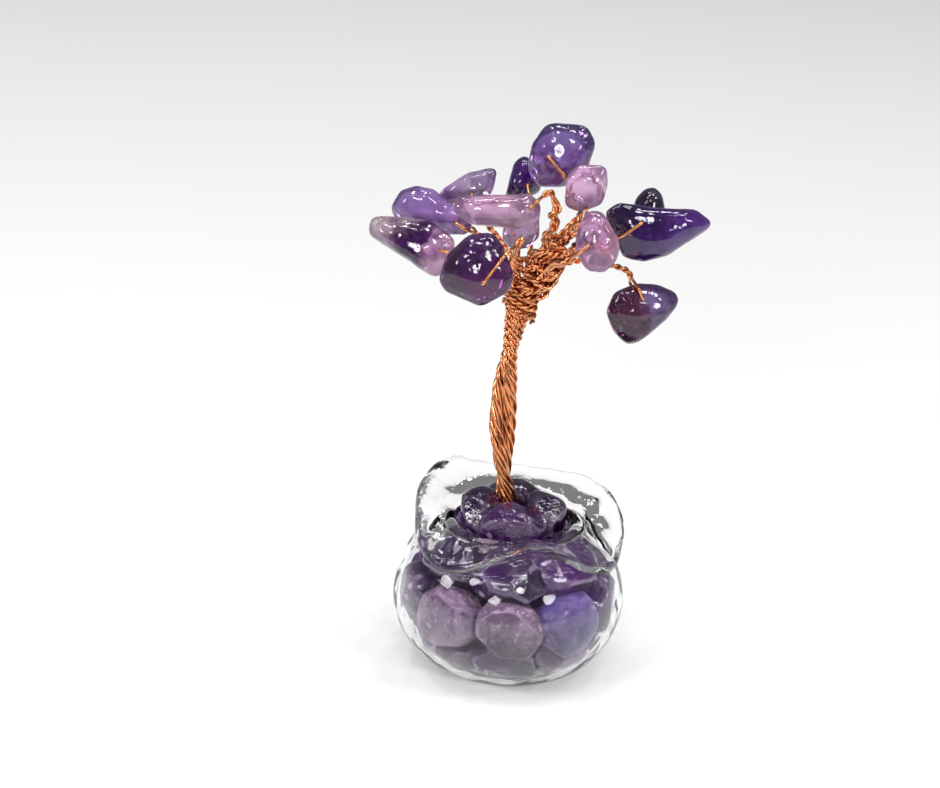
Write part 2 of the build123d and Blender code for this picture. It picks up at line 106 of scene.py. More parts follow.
# Each stone's branch: rope, place in it, shares of the bough, bends from the crown in millimetres,
# and the way from its hole in degrees
BRANCHES = {
    "top": (RIGHT, 3, (0.5, 1.0), ((5.2, 0.2, 8.8),), -45),
    "rear": (RIGHT, 2, (), ((0.0, 1.7, 2.6), (-0.3, 4.6, 5.0)), -80),
    "left_point": (LEFT, 1, (), ((-1.4, 1.7, 2.0), (-3.2, 4.4, 3.8)), -60),
    "left_dome": (LEFT, 2, (), ((-2.5, 1.8, 2.2), (-5.0, 3.2, 4.2)), -25),
    "left_tip": (LEFT, 3, (), ((-3.4, -0.4, 2.0), (-5.2, -1.3, 3.3)), -12),
    "left_bar": (LEFT, 0, (), ((-0.2, -1.0, 2.4), (1.0, -2.2, 5.0), (2.1, -3.3, 8.6), (2.1, -3.5, 10.9)), 42),
    "left_pale": (LEFT, 5, (), (), -90),
    "left_front": (LEFT, 4, (), ((-1.9, -2.4, 2.6), (-1.9, -5.4, 6.0)), 60),
    "right_cube": (RIGHT, 4, (0.5, 1.0), ((4.4, -1.5, 8.0),), -95),
    "right_drop": (RIGHT, 5, (), ((1.0, -1.5, 1.9), (1.9, -3.0, 3.5), (2.4, -6.2, 5.2)), -140),
    "right_leaf": (RIGHT, CORE, (0.5, 1.0), ((5.3, 0.1, 6.5),), 215),
    "right_rear": (RIGHT, 1, (0.5, 1.0), ((5.8, 2.2, 6.9),), 205),
    "hanging": (RIGHT, 0, (), ((2.5, -0.3, 2.6), (4.6, -0.8, 4.0), (7.8, -1.6, 4.1)), 115),
}


# Objects and edit mode

def only(piece):
    """Leaves one piece selected and active."""
    bpy.ops.object.select_all(action="DESELECT")
    piece.select_set(True)
    bpy.context.view_layer.objects.active = piece


def edit(piece):
    only(piece)
    bpy.ops.object.mode_set(mode="EDIT")
    bpy.ops.mesh.select_all(action="SELECT")


def leave_edit():
    bpy.ops.object.mode_set(mode="OBJECT")


def piece_of(name, data):
    piece = bpy.data.objects.new(name, data)
    bpy.context.scene.collection.objects.link(piece)
    return piece


def copy_of(node, name):
    """A new piece with a merged copy of a CAD node's mesh."""
    piece = piece_of(name, NODES[node].data.copy())
    piece.data.materials.clear()
    edit(piece)
    bpy.ops.mesh.remove_doubles(threshold=0.001 * MM)
    leave_edit()
    return piece


def modify(piece, kind, **settings):
    """Adds a modifier and applies it."""
    only(piece)
    modifier = piece.modifiers.new(kind.title(), kind)
    for name, value in settings.items():
        setattr(modifier, name, value)
    bpy.ops.object.modifier_apply(modifier=modifier.name)


def clouds(name, size):
    texture = bpy.data.textures.new(name, "CLOUDS")
    texture.noise_scale = size
    texture.noise_depth = 2
    return texture


def set_piece(piece, body, slot, finish, *nodes):
    piece.data.materials.clear()
    piece.data.materials.append(finish)
    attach(piece, body)
    if nodes:
        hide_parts(*nodes)


# Finishes

class Field:
    """A value or colour on a surface; arithmetic on it adds Math nodes to its finish."""

    def __init__(self, finish, socket):
        self.finish = finish
        self.socket = socket

    def math(self, operation, first, second):
        return self.finish.node("ShaderNodeMath", {"operation": operation}, {0: first, 1: second})

    def __add__(self, other):
        return self.math("ADD", self, other)

    def __sub__(self, other):
        return self.math("SUBTRACT", self, other)

    def __rsub__(self, other):
        return self.math("SUBTRACT", other, self)

    def __mul__(self, other):
        return self.math("MULTIPLY", self, other)

    def clamped(self):
        return self.finish.node("ShaderNodeClamp", {}, {"Value": self})

    __radd__ = __add__
    __rmul__ = __mul__


class Finish:
    """A material and its nodes."""

    def __init__(self, name):
        self.material = bpy.data.materials.new(name)
        self.material.use_nodes = True
        self.tree = self.material.node_tree
        self.shader = next(node for node in self.tree.nodes if node.type == "BSDF_PRINCIPLED")
        self.place = self.node("ShaderNodeTexCoord", {}, {}, "Object")

    def node(self, kind, settings, inputs, output=0):
        node = self.tree.nodes.new(kind)
        for name, value in settings.items():
            if name == "stops":
                self.set_stops(node.color_ramp, value)
            else:
                setattr(node, name, value)
        for name, value in inputs.items():
            self.feed(node.inputs[name], value)
        return Field(self, node.outputs[output])

    def set_stops(self, ramp, stops):
        while len(ramp.elements) < len(stops):
            ramp.elements.new(1.0)
        for element, (position, colour) in zip(ramp.elements, stops):
            element.position = position
            element.color = colour

    def feed(self, socket, value):
        if isinstance(value, Field):
            self.tree.links.new(value.socket, socket)
        else:
            socket.default_value = value

    def noise(self, size, detail=2.0, roughness=0.5):
        """Noise whose features are about that many metres across."""
        return self.node("ShaderNodeTexNoise", {},
                         {"Vector": self.place, "Scale": 1 / size, "Detail": detail, "Roughness": roughness})

    def patches(self, size, detail, roughness, level, gain):
        """Noise that rises above a level, from 0 to 1."""
        return ((self.noise(size, detail, roughness) - level) * gain).clamped()

    def along(self, centre, heading, span):
        """0 to 1 across the span, along the heading, through the centre."""
        moved = self.node("ShaderNodeVectorMath", {"operation": "SUBTRACT"}, {0: self.place, 1: centre})
        share = self.node("ShaderNodeVectorMath", {"operation": "DOT_PRODUCT"},
                          {0: moved, 1: Vector(heading).normalized() / span}, "Value")
        return share + 0.5

    def ramp(self, value, stops):
        return self.node("ShaderNodeValToRGB", {"stops": stops}, {"Fac": value})

    def mix(self, share, first, second):
        return self.node("ShaderNodeMix", {"data_type": "RGBA"}, {0: share, 6: first, 7: second}, 2)

    def tint(self, share, colour, filter_colour):
        """A colour seen through a filter, as far as the share says."""
        return self.node("ShaderNodeMix", {"data_type": "RGBA", "blend_type": "MULTIPLY"},
                         {0: share, 6: colour, 7: filter_colour}, 2)

    def bump(self, height, distance, strength=1.0):
        return self.node("ShaderNodeBump", {}, {"Height": height, "Distance": distance, "Strength": strength})

    def shade(self, **sockets):
        for name, value in sockets.items():
            self.feed(self.shader.inputs[name.replace("_", " ").title().replace("Ior", "IOR")], value)
        return self.material


def rgb(red, green, blue):
    """A colour as seen on screen, from 0 to 255, in linear light."""
    linear = [(share / 12.92 if share <= 0.04045 else ((share + 0.055) / 1.055) ** 2.4)
              for share in (red / 255, green / 255, blue / 255)]
    return (*linear, 1.0)


MURK = (0.42, 0.28, 0.5, 1.0)           # filter of the darker clouds in a stone
VEIL, HEALED, PAINTED_EDGE_HIGHLIGHT = rgb(206, 180, 210), rgb(232, 214, 234), rgb(206, 180, 214)
EVEN, EDGE_HIGHLIGHT_SHARE = 0.508, 0.4           # pointiness above which an edge is painted pale as a highlight, and how far


def amethyst(name, box, heading, stops, veil, clear, ripples):
    """Stone zoned in colour along the heading, with murk, pale veils and small flaws inside it, and a painted
    highlight on its sharper edges.
    """
    low, high = (Vector(corner) for corner in box)
    heading = Vector(heading).normalized()
    span = sum(abs(part) * size for part, size in zip(heading, high - low))
    finish = Finish(name)
    zone = finish.along((low + high) / 2, heading, span) + (finish.noise(2.6 * MM, 3.0) - 0.5) * 0.65
    body = finish.ramp(zone, [(place, rgb(*colour)) for place, colour in stops])
    murk = finish.patches(1.8 * MM, 4.0, 0.6, 0.46, 5.0)
    deeper = finish.tint(murk * 0.75, body, MURK)
    wisps = finish.patches(1.1 * MM, 5.0, 0.62, 0.52, 5.0)
    veiled = finish.mix(wisps * veil, deeper, VEIL)
    flaws = finish.patches(0.45 * MM, 3.0, 0.6, 0.58, 8.0)
    healed = finish.mix(flaws * veil, veiled, HEALED)
    # Painted highlight: convex edges are painted paler, as if light caught them.
    edge_highlight = ((finish.node("ShaderNodeNewGeometry", {}, {}, "Pointiness") - EVEN) * 20.0).clamped()
    colour = finish.mix(edge_highlight * EDGE_HIGHLIGHT_SHARE, healed, PAINTED_EDGE_HIGHLIGHT)
    smudge = finish.patches(1.7 * MM, 3.0, 0.5, 0.45, 3.0)
    ripple = finish.noise(1.0 * MM, 3.0) + finish.noise(0.25 * MM, 2.0) * 0.15
    return finish.shade(base_color=colour, roughness=0.03 + smudge * 0.05, ior=1.544,
                        transmission_weight=clear, specular_ior_level=0.7,
                        normal=finish.bump(ripple, ripples, 0.5))


def copper_finish():
    """Bright drawn copper, darker where it has tarnished."""
    finish = Finish("bright_copper")
    tarnish = finish.patches(1.4 * MM, 4.0, 0.6, 0.46, 4.0)
    streak = finish.noise(0.12 * MM, 2.0)
    colour = finish.mix(tarnish * 0.9, rgb(228, 156, 108), rgb(104, 46, 26))
    return finish.shade(base_color=colour, metallic=1.0, roughness=0.10 + tarnish * 0.16 + streak * 0.06,
                        normal=finish.bump(streak, 0.01 * MM, 0.4))


def glass_finish():
    """Clear blown glass, faintly wavy in the bowl and more so in the worked lip."""
    finish = Finish("clear_blown_glass")
    lip = ((finish.along((0, 0, NECK_Z), (0, 0, 1), 4 * MM) - 0.35) * 2.5).clamped()
    wave = finish.noise(4.5 * MM, 2.0) + finish.noise(1.1 * MM, 2.0) * (0.04 + lip * 0.35)
    film = finish.patches(6.0 * MM, 3.0, 0.5, 0.5, 3.0)
    return finish.shade(base_color=(0.97, 0.975, 0.98, 1.0), roughness=0.004 + film * 0.012, ior=1.33,
                        transmission_weight=1.0, normal=finish.bump(wave, 0.30 * MM, 0.5))


def glue_finish():
    finish = Finish("set_clear_glue")
    cloud = finish.noise(1.5 * MM, 3.0)
    colour = finish.mix(cloud, rgb(235, 232, 222), rgb(214, 206, 190))
    return finish.shade(base_color=colour, roughness=0.12 + cloud * 0.15, ior=1.48, transmission_weight=0.7,
                        normal=finish.bump(finish.noise(0.6 * MM), 0.05 * MM, 0.5))


def floor_finish():
    finish = Finish("pale_floor")
    grain = finish.noise(40 * MM, 3.0)
    colour = finish.mix(grain, (0.86, 0.86, 0.86, 1.0), (0.88, 0.88, 0.88, 1.0))
    return finish.shade(base_color=colour, roughness=0.65)


# Tumbled stones

LILAC, PALE, PINK, GREY = (152, 98, 172), (200, 154, 196), (208, 156, 192), (176, 156, 184)
PLUM, BLUE = (66, 20, 44), (96, 78, 128)

# Each stone's slot; the way its colours run (right, up); its colour zones; its veils and clearness;
# and its flats (right, up, front, and share of its reach)
STONE_LOOKS = {
    "top": ("amethyst_mid", (0.2, 1.0),
            ((0.12, (164, 104, 184)), (0.42, (128, 80, 166)), (0.75, (114, 98, 158))),
            0.25, 0.8, ((-0.9, -0.2, 0.5, 0.96), (0.7, -0.8, 0.4, 0.94))),
    "rear": ("amethyst_dark", (0.3, 1.0),
             ((0.2, (52, 2, 84)), (0.8, (74, 14, 122))),
             0.1, 0.7, ((-0.7, 0.4, 0.6, 0.88), (0.6, 0.7, 0.4, 0.92))),
    "left_point": ("amethyst_pale", (0.8, 1.0),
                   ((0.1, LILAC), (0.5, (172, 148, 182)), (0.9, (138, 120, 158))),
                   0.4, 0.8, ((-0.4, 1.0, 0.6, 0.9), (0.3, 0.1, 1.0, 0.94))),
    "left_dome": ("amethyst_mid", (-0.6, 1.0),
                  ((0.15, (182, 128, 186)), (0.45, (150, 110, 180)), (0.8, (142, 116, 178))),
                  0.3, 0.75, ()),
    "left_tip": ("amethyst_dark", (0.8, -0.6),
                 ((0.14, (212, 202, 200)), (0.32, (170, 144, 162)), (0.42, (46, 0, 60)), (0.60, (62, 2, 82)),
                  (0.68, (234, 184, 220))),
                 0.12, 0.7, ((-0.6, 0.9, 0.5, 0.95), (-0.3, -1.0, 0.3, 0.95))),
    "left_bar": ("amethyst_pale", (1.0, 0.3),
                 ((0.1, (184, 140, 190)), (0.45, (214, 170, 206)), (0.9, (204, 168, 190))),
                 0.4, 0.75, ((0.0, 1.0, 0.5, 0.92), (-0.9, 0.0, 0.4, 0.97))),
    "left_pale": ("amethyst_pale", (0.0, 1.0),
                  ((0.2, GREY), (0.8, PALE)),
                  0.4, 0.75, ((0.5, -0.5, 0.7, 0.94),)),
    "left_front": ("amethyst_dark", (-0.7, 0.7),
                   ((0.06, (156, 76, 144)), (0.24, (108, 38, 110)), (0.5, (54, 6, 68)), (0.9, (76, 36, 98))),
                   0.12, 0.7, ((0.9, 0.4, 0.5, 0.96), (-0.3, -1.0, 0.5, 0.96))),
    "right_cube": ("amethyst_pale", (0.6, 0.8),
                   ((0.2, (218, 168, 204)), (0.8, (220, 180, 220))),
                   0.45, 0.8, ((-0.5, 0.1, 1.0, 0.9), (0.9, 0.1, 0.6, 0.9), (0.0, 1.0, 0.5, 0.93))),
    "right_drop": ("amethyst_pale", (0.2, -1.0),
                   ((0.2, PALE), (0.8, PINK)),
                   0.4, 0.75, ((0.7, 0.7, 0.5, 0.95), (-0.8, 0.3, 0.4, 0.95))),
    "right_leaf": ("amethyst_dark", (1.0, -0.3),
                   ((0.1, (30, 0, 54)), (0.45, (48, 4, 88)), (0.8, (86, 36, 134))),
                   0.06, 0.5, ((0.6, -0.9, 0.3, 0.96),)),
    "right_rear": ("amethyst_dark", (0.0, 1.0),
                   ((0.2, (30, 12, 50)), (0.9, (26, 16, 46))),
                   0.06, 0.6, ((0.6, 0.6, 0.7, 0.88), (-0.7, 0.5, 0.4, 0.88))),
    "hanging": ("amethyst_mid", (1.0, 0.15),
                ((0.2, PLUM), (0.45, (84, 32, 66)), (0.52, (124, 100, 150)), (0.85, BLUE)),
                0.12, 0.7, ((0.75, 0.2, 0.75, 0.82), (-0.8, 0.1, 0.5, 0.95), (0.3, 1.0, 0.4, 0.95))),
}
STONE_VOXEL = 0.16 * MM
STONE_LUMPS, STONE_ROUNDS = 0.20 * MM, 30       # how uneven tumbling left a stone, and how far it rounded it
STONE_RIPPLES = 0.07 * MM                       # in its polish
LUMP_SIZE, PIT_SIZE, PIT_SHARE = 2.4 * MM, 0.8 * MM, 0.25
CREASE = math.radians(50)                       # edges sharper than this stay sharp
FACE_FALL = 0.38                # share of its thickness that a stone loses at its outline
HOLE_R, SNUG_R = 0.5 * MM, 0.22 * MM     # drilled in the solids, and drawn close round the wire
BEYOND_HOLE = 0.6 * MM          # from a hole's axis, past its rim
DRILL_DEPTH = 12 * MM           # longer than any stone is thick
# Stones whose wire stands off by their full half thickness, and the share of it for all others
WIDE_LEGS = ("top", "left_front", "right_leaf", "right_cube", "right_rear")
CLOSE_LEGS = 0.86


def stone_axes(body):
    """A stone's right, up and front, and the middle of its drilled hole."""
    joint = JOINTS[body]
    front = Vector(joint["axis"]).normalized()
    right = Vector((0, 0, 1)).cross(front).normalized()
    return right, front.cross(right), front, Vector(joint["pos_m"])


def middle_of(piece):
    spots = [vertex.co for vertex in piece.data.vertices]
    return sum(spots, Vector()) / len(spots)


def shave(piece, heading, share):
    """Grinds a flat on a stone, at a share of its reach in that direction."""
    middle = middle_of(piece)
    heading = heading.normalized()
    limit = share * max((vertex.co - middle).dot(heading) for vertex in piece.data.vertices)
    for vertex in piece.data.vertices:
        over = (vertex.co - middle).dot(heading) - limit
        if over > 0:
            vertex.co -= heading * over


def close_hole(piece, hole, axis):
    """Takes a drilled hole's wall out of a stone and closes both ends."""
    def off_axis(spot):
        return ((spot - hole) - axis * (spot - hole).dot(axis)).length

    edit(piece)
    bpy.ops.mesh.select_all(action="DESELECT")
    leave_edit()
    for face in piece.data.polygons:
        corners = [piece.data.vertices[index].co for index in face.vertices]
        sideways = abs(face.normal.dot(axis)) < 0.3
        face.select = sideways and all(off_axis(spot) < HOLE_R * 1.03 for spot in corners)
    bpy.ops.object.mode_set(mode="EDIT")
    bpy.ops.mesh.delete(type="FACE")
    bpy.ops.mesh.select_all(action="SELECT")
    bpy.ops.mesh.fill_holes(sides=0)
    leave_edit()


def drill(piece, hole, axis, depth):
    """Drills a stone along its axis, close to the size of its wire."""
    bpy.ops.object.select_all(action="DESELECT")
    bpy.ops.mesh.primitive_cylinder_add(vertices=20, radius=SNUG_R, depth=depth, location=hole,
                                        rotation=axis.to_track_quat("Z", "Y").to_euler())
    bit = bpy.context.view_layer.objects.active
    modify(piece, "BOOLEAN", object=bit, operation="DIFFERENCE", solver="EXACT")
    bpy.data.objects.remove(bit)


def pillow(piece, axes):
    """Lets both faces of a stone fall away towards its outline, as worn pebbles do."""
    spots = [vertex.co for vertex in piece.data.vertices]
    spans = [(min(spot.dot(axis) for spot in spots), max(spot.dot(axis) for spot in spots)) for axis in axes]
    middles = [(low + high) / 2 for low, high in spans]
    halves = [(high - low) / 2 for low, high in spans]
    for vertex in piece.data.vertices:
        across, rise, ahead = (vertex.co.dot(axis) - middle for axis, middle in zip(axes, middles))
        rim = min((across / halves[0]) ** 2 + (rise / halves[1]) ** 2, 1.0)
        vertex.co -= axes[2] * ahead * rim * FACE_FALL


def tumble(piece, voxel, lumps, seed, rounds):
    """Rounds a cut stone off, as a tumbling drum does, and leaves it a little uneven."""
    modify(piece, "REMESH", mode="VOXEL", voxel_size=voxel)
    modify(piece, "SMOOTH", factor=0.5, iterations=rounds)
    modify(piece, "DISPLACE", texture=clouds(f"lumps_{seed}", LUMP_SIZE), strength=lumps, mid_level=0.5,
           texture_coords="LOCAL")
    modify(piece, "DISPLACE", texture=clouds(f"pits_{seed}", PIT_SIZE), strength=lumps * PIT_SHARE,
           mid_level=0.5, texture_coords="LOCAL")
    modify(piece, "SMOOTH", factor=0.4, iterations=2)


def drilled_stones():
    for name, (slot, heading, zones, veil, clear, flats) in STONE_LOOKS.items():
        body = f"{name}_stone"
        right, up, front, hole = stone_axes(body)
        piece = copy_of(body, f"{name}_tumbled_stone")
        close_hole(piece, hole, front)
        modify(piece, "REMESH", mode="VOXEL", voxel_size=STONE_VOXEL)
        for across, rise, ahead, share in flats:
            shave(piece, right * across + up * rise + front * ahead, share)
        pillow(piece, (right, up, front))
        tumble(piece, STONE_VOXEL, STONE_LUMPS, name, STONE_ROUNDS)
        drill(piece, hole, front, DRILL_DEPTH)
        only(piece)
        bpy.ops.object.shade_smooth_by_angle(angle=CREASE)
        colours_run = right * heading[0] + up * heading[1]
        finish = amethyst(f"{name}_amethyst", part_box(body), colours_run, zones, veil, clear, STONE_RIPPLES)
        set_piece(piece, body, slot, finish, body)


# Chips in the pot

CHIP_NODES = ("chips_low_ring", "chips_mid_ring", "chips_high_ring",
              "chips_core_1", "chips_core_2", "chips_core_3", "chips_core_4")
# Colour zones, veils and clearness
# The tones are darker than the stones partly as painted shade of the pot's inside, over the chips' own deep
# purple.
CHIP_TONES = {
    "dark": (((0.2, (22, 0, 36)), (0.8, (38, 4, 58))), 0.06, 0.2),
    "deep": (((0.2, (36, 2, 54)), (0.8, (62, 18, 82))), 0.10, 0.25),
    "violet": (((0.2, (66, 44, 116)), (0.8, (128, 106, 180))), 0.4, 0.6),
    "smoky": (((0.15, (62, 34, 68)), (0.85, (132, 108, 132))), 0.35, 0.5),
    "pale": (((0.2, (106, 82, 110)), (0.8, (154, 132, 152))), 0.35, 0.4),
}
# The dark and deep tones set in front and under the lip stand partly for painted shade inside the pot.
FRONT_CHIPS = {("chips_mid_ring", 0): "smoky", ("chips_mid_ring", 1): "violet", ("chips_mid_ring", 8): "pale",
               ("chips_low_ring", 0): "dark", ("chips_low_ring", 1): "deep", ("chips_low_ring", 7): "dark",
               ("chips_high_ring", 0): "dark", ("chips_high_ring", 1): "deep", ("chips_high_ring", 6): "dark"}
COMMON_TONES = ("dark", "deep", "dark", "deep", "dark", "deep", "smoky")
CHIP_SEED = 11
CHIP_TURN = 0.2                 # radians either way
CHIP_SWELL, MID_TALLER = 1.50, 1.15     # chips crowd together, and those of the middle ring stand taller
SWELL_OUT = 0.3 * MM            # from a chip's middle to the point about which it swells
# Flats on a chip, their places as shares of its reach, and how far they face outwards
CHIP_CUTS, CUT_SHARES, CUT_LEAN = 7, (0.80, 0.94), 0.4
CHIP_VOXEL, CHIP_LUMPS, CHIP_ROUNDS = 0.22 * MM, 0.20 * MM, 1
CHIP_GAP = 0.25 * MM            # between a chip and the glass
CHIP_RIPPLES = 0.20 * MM
ZONE_HALF = Vector((1, 1, 1)) * 2.5 * MM        # of the box that a chip's colour zones cross


def bowl_side(width, height):
    """Radius of the arc that moves in by the width over the height, from an upright start."""
    return (width * width + height * height) / (2 * width)


LOW_R = bowl_side(POT_R - FOOT_R, BOWL_MID_Z)                               # bend of the bowl's lower half
HIGH_R = bowl_side(POT_R - THROAT_R - GLASS_WALL, NECK_Z - BOWL_MID_Z)      # and of its upper half


def bowl_room(z):
    """How far from the axis a chip can lie inside the bowl at one height."""
    bend = LOW_R if z < BOWL_MID_Z else HIGH_R
    reach, rise = bend - BLOWN_WALL - CHIP_GAP, z - BOWL_MID_Z
    return max(POT_R - bend + math.sqrt(max(reach * reach - rise * rise, 0.0)), THROAT_R)


def press_in(chip):
    """Presses a chip flat where it would go through the glass."""
    for vertex in chip.data.vertices:
        vertex.co.z = max(vertex.co.z, GLASS_FLOOR + CHIP_GAP)
        share = bowl_room(vertex.co.z) / vertex.co.xy.length
        if share < 1:
            vertex.co.xy *= share


def loose_parts(piece):
    edit(piece)
    bpy.ops.mesh.separate(type="LOOSE")
    leave_edit()
    return list(bpy.context.selected_objects)


def round_from_front(chip):
    """Degrees round the pot, counted from one degree before its front."""
    middle = middle_of(chip)
    return (math.degrees(math.atan2(middle.y, middle.x)) + 91) % 360


def any_way(draw):
    return Vector((draw.uniform(-1, 1), draw.uniform(-1, 1), draw.uniform(-1, 1)))


def cut_chip(chip, taller, draw):
    """Turns, swells and cuts one chip, tumbles it a little, and fits it inside the glass."""
    middle = middle_of(chip)
    outward = Vector((middle.x, middle.y, 0)).normalized()
    edit(chip)
    bpy.ops.transform.rotate(value=draw.uniform(-CHIP_TURN, CHIP_TURN), orient_axis="Z", orient_type="GLOBAL",
                             center_override=middle)
    bpy.ops.transform.resize(value=(CHIP_SWELL, CHIP_SWELL, CHIP_SWELL * taller),
                             center_override=middle + outward * SWELL_OUT)
    leave_edit()
    modify(chip, "REMESH", mode="VOXEL", voxel_size=CHIP_VOXEL)
    for _ in range(CHIP_CUTS):
        aside = any_way(draw)
        shave(chip, aside + outward * CUT_LEAN, draw.uniform(*CUT_SHARES))
    tumble(chip, CHIP_VOXEL, CHIP_LUMPS, chip.name, CHIP_ROUNDS)
    press_in(chip)
    modify(chip, "SMOOTH", factor=0.5, iterations=4)
    only(chip)
    bpy.ops.object.shade_smooth()


def pot_chips():
    """Every chip in the pot, each cut, turned and coloured by itself."""
    draw = random.Random(CHIP_SEED)
    for node in CHIP_NODES:
        chips = loose_parts(copy_of(node, f"{node}_stone"))
        chips.sort(key=round_from_front)
        for index, chip in enumerate(chips):
            chip.name = f"{node}_stone_{index + 1}"
            middle = middle_of(chip)
            cut_chip(chip, MID_TALLER if node == "chips_mid_ring" else 1.0, draw)
            tone = FRONT_CHIPS.get((node, index), draw.choice(COMMON_TONES))
            zones, veil, clear = CHIP_TONES[tone]
            box = (middle - ZONE_HALF, middle + ZONE_HALF)
            finish = amethyst(f"{chip.name}_{tone}", box, any_way(draw), zones, veil, clear, CHIP_RIPPLES)
            set_piece(chip, ROOT, "chip_stone", finish, node)


# Wires

def trunk_middle(z):
    along = min(max((z - BOW_MID_Z) / BOW_HALF, -1.0), 1.0)
    return Vector((TRUNK_X - TRUNK_BOW * math.cos(along * math.pi / 2) ** 2, 0, z))


def ring(angle, radius):
    return Vector((math.cos(angle), math.sin(angle), 0)) * radius


def rope_middle(rope, z):
    return trunk_middle(z) + ring(rope - 2 * math.pi * (z - CROWN_Z) / ROPE_PITCH, ROPE_OFFSET)


def slot_offset(slot, z):
    if slot is CORE:
        return Vector()
    return ring(2 * math.pi * (slot / RING_SLOTS - (z - CROWN_Z) / LAY_PITCH), RING_R)


def smooth_line(points):
    """Points along a smooth curve that the given points steer."""
    curve = bpy.data.curves.new("line", "CURVE")
    curve.dimensions = "3D"
    spline = curve.splines.new("NURBS")
    spline.points.add(len(points) - 1)
    for spot, point in zip(spline.points, points):
        spot.co = (*point, 1.0)
    spline.order_u = 3
    spline.use_endpoint_u = True
    spline.resolution_u = 6
    holder = piece_of("line", curve)
    bpy.context.view_layer.update()
    mesh = bpy.data.meshes.new_from_object(holder)
    line = [vertex.co.copy() for vertex in mesh.vertices]
    bpy.data.objects.remove(holder)
    bpy.data.curves.remove(curve)
    bpy.data.meshes.remove(mesh)
    return line


def even_steps(line, step):
    """The same line with its points one step apart."""
    steps, left = [line[0]], step
    for first, second in zip(line, line[1:]):
        run = (second - first).length
        while run >= left and run > 0:
            first = first.lerp(second, left / run)
            steps.append(first)
            run, left = (second - first).length, step
        left -= run
    steps.append(line[-1])
    return steps


def twisted_pair(line, facing):
    """Two wires wound round a line, loosely in the trunk; at its end the first lies on the facing side."""
    line = even_steps(line, TWIST_PITCH / STEPS_PER_TWIST)
    headings = [(after - before).normalized() for before, after in zip(line, line[1:])]
    headings.append(headings[-1])
    aside = headings[0].orthogonal().normalized()
    sides = []
    for heading in headings:
        aside = (aside - heading * aside.dot(heading)).normalized()
        sides.append(aside)
    last = headings[-1]
    goal = (facing - last * facing.dot(last)).normalized()
    phase = math.atan2(goal.dot(last.cross(sides[-1])), goal.dot(sides[-1]))
    first, second = [], []
    angle = phase
    for spot, heading, side in reversed(list(zip(line, headings, sides))):
        offset = (side * math.cos(angle) + heading.cross(side) * math.sin(angle)) * WIRE_R
        first.append(spot + offset)
        second.append(spot - offset)
        share = min(max((spot.z - TWIST_LOW_Z) / (TWIST_HIGH_Z - TWIST_LOW_Z), 0.0), 1.0)
        pitch = TRUNK_TWIST + (TWIST_PITCH - TRUNK_TWIST) * share
        angle += 2 * math.pi * TWIST_PITCH / STEPS_PER_TWIST / pitch
    return first[::-1], second[::-1]


def round_wire(name, lines, radius):
    """A mesh of round wire along each line."""
    curve = bpy.data.curves.new(name, "CURVE")
    curve.dimensions = "3D"
    curve.bevel_depth = radius
    curve.bevel_resolution = 2
    curve.use_fill_caps = True
    for line in lines:
        spline = curve.splines.new("POLY")
        spline.points.add(len(line) - 1)
        for spot, point in zip(spline.points, line):
            spot.co = (*point, 1.0)
    piece = piece_of(name, curve)
    only(piece)
    bpy.ops.object.convert(target="MESH")
    piece = bpy.context.view_layer.objects.active
    bpy.ops.object.shade_smooth()
    return piece


def stone_edge(body, hole, front, toward, swing):
    """How far a stone's outline comes towards its branch as it swings, and half its thickness."""
    far, deep = 0.0, 0.0
    for vertex in NODES[body].data.vertices:
        spot = vertex.co - hole
        flat = spot - front * spot.dot(front)
        deep = max(deep, abs(spot.dot(front)))
        if flat.length > BEYOND_HOLE and flat.angle(toward) < swing:
            far = max(far, flat.length)
    return far, deep


def stone_wire(name, finish):
    """One wire, doubled through its stone, with both legs twisted together down to the pot."""
    rope, slot, bough, bends, way = BRANCHES[name]
    body = f"{name}_stone"
    right, up, front, hole = stone_axes(body)
    way = math.radians(way)
    toward = right * math.cos(way) + up * math.sin(way)
    edge, half = stone_edge(body, hole, front, toward, math.radians(JOINTS[body]["range_deg"][1]))
    end = hole + toward * (edge + LEG_ROOM)
    steps = round((CROWN_Z - FOOT_Z) / TRUNK_STEP)
    route = []
    for step in range(steps + 1):
        z = FOOT_Z + (CROWN_Z - FOOT_Z) * step / steps
        route.append(rope_middle(rope, z) + slot_offset(slot, z))
    for share in bough:
        spread = slot_offset(slot, CROWN_Z) * (1 + BOUGH_SPREAD * share)
        route.append(rope_middle(rope, CROWN_Z) + BOUGH * share + spread)
    route += [Vector((0, 0, CROWN_Z)) + Vector(bend) * MM for bend in bends]
    route += [end + toward * LEAD, end + toward * LEAD / 2, end]
    first, second = twisted_pair(smooth_line(route), front)
    side = half * (1.0 if name in WIDE_LEGS else CLOSE_LEGS) + LEG_REST
    half_loop = [(edge * LEG_BREAK, side), (edge * LEG_BREAK / 2, side), (LEG_BEND, side), (0, side),
                 (0, side - LEG_BEND), (0, side / 2)]
    loop = half_loop + [(along, -across) for along, across in reversed(half_loop)]
    legs = [first[-1]] + [hole + toward * along + front * across for along, across in loop] + [second[-1]]
    line = first[:-1] + smooth_line(legs) + second[-2::-1]
    piece = round_wire(f"{name}_copper_wire", [line], WIRE_R)
    set_piece(piece, ROOT, "copper_wire", finish, f"{name}_wire")


def wind(start, end, turns, widest, phase=0.0, steps=COIL_STEPS):
    """Points of a winding round a straight bough, fattest at its middle."""
    heading = (end - start).normalized()
    across = heading.cross(Vector((0, 1, 0))).normalized()
    deep = heading.cross(across)
    points = []
    for index in range(round(abs(turns) * steps) + 1):
        share = index / (abs(turns) * steps)
        angle = phase + 2 * math.pi * turns * share
        radius = widest * (0.72 + 0.28 * math.sin(math.pi * share) + 0.05 * math.sin(5.3 * angle))
        points.append(start.lerp(end, share) + (across * math.cos(angle) + deep * math.sin(angle)) * radius)
    return points


